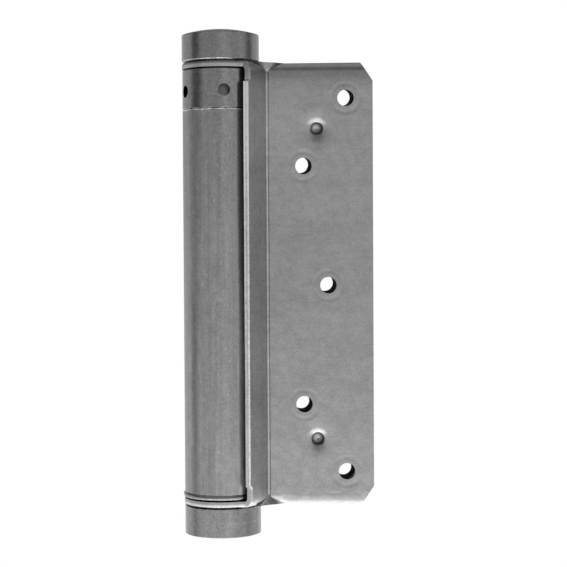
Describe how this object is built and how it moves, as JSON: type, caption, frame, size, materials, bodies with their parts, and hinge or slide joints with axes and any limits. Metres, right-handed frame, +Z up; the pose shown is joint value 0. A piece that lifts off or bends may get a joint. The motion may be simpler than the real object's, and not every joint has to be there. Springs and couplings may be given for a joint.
{
  "type": "spring hinge",
  "caption": "Single-acting spring hinge: a round barrel with end caps and a tension collar, and two pressed steel leaves folded together, each with staggered screw holes.",
  "frame": {"origin": "on the pivot axis, at the flat underside of the bottom cap", "axes": "+Z up along the pivot to the tension collar and the domed cap, +X towards the free edges of the closed leaves, the swing leaf faces -Y"},
  "size_m": [0.0653, 0.0271, 0.1718],
  "materials": {
    "leaf_steel": "bare pressed sheet, satin, with faint rolling streaks",
    "turned_steel": "turned, dull satin",
    "spindle_steel": "ground rod and washers",
    "spring_steel": "oiled spring wire",
    "bush_nylon": "moulded nylon"
  },
  "bodies": {
    "barrel": {"frame_leaf": "leaf_steel", "lower_plug": "turned_steel", "spindle": "spindle_steel", "top_cap": "turned_steel", "bottom_cap": "turned_steel", "torsion_spring": "spring_steel", "upper_thrust_washer": "spindle_steel", "lower_thrust_washer": "spindle_steel"},
    "swing_leaf": {"swing_leaf": "leaf_steel", "upper_ear_bush": "bush_nylon", "lower_ear_bush": "bush_nylon"},
    "tension_collar": {"tension_collar": "turned_steel"}
  },
  "joints": [
    {"name": "leaf_swing", "type": "hinge", "parent": "barrel", "child": "swing_leaf", "pos_m": [0, 0, 0.08515], "axis": [0, 0, -1], "range_deg": [0, 180]},
    {"name": "collar_turn", "type": "hinge", "parent": "barrel", "child": "tension_collar", "pos_m": [0, 0, 0.1504], "axis": [0, 0, -1], "range_deg": [0, 216], "stiffness_Nm_per_rad": 1.2, "deforming": ["torsion_spring"]}
  ]
}
